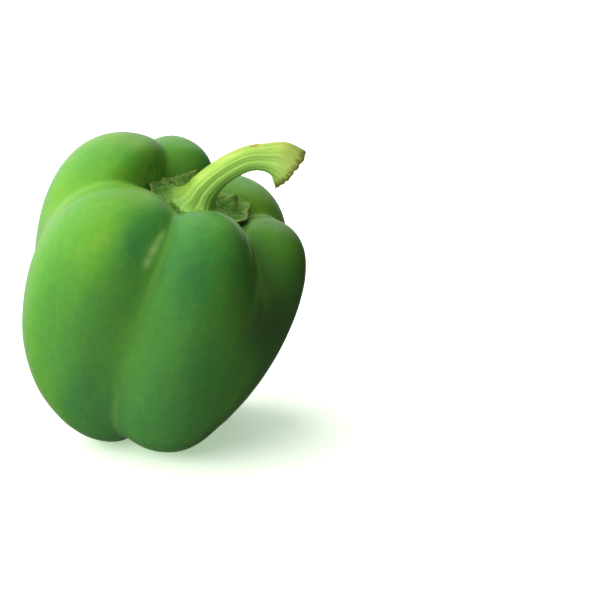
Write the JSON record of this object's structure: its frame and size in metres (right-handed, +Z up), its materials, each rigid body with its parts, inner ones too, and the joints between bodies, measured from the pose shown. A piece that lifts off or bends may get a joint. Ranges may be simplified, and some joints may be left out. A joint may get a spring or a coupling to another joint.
{
  "type": "green bell pepper",
  "caption": "Whole fresh green bell pepper as picked: blocky lobed fruit, leafy cap in its top hollow and a bent cut stem, standing tilted on its lobe ends.",
  "frame": {"origin": "on the surface that the pepper stands on, under the middle of its box", "axes": "+Z up from that surface, -Y the front, where the wide left front lobe and the middle front lobe show, +X to the right, the way the stem bends"},
  "size_m": [0.0923, 0.0868, 0.103],
  "materials": {
    "pepper_skin": "smooth waxy green skin, satin to glossy, lighter at the crowns and darker in the creases",
    "calyx_leaf": "thin wrinkled leaf, matte dull green",
    "stem_skin": "fibrous yellow-green stalk with lengthwise ridges, satin, browned at the cut"
  },
  "bodies": {
    "root": {"fruit": "pepper_skin", "calyx": "calyx_leaf", "stem": "stem_skin"}
  },
  "joints": []
}
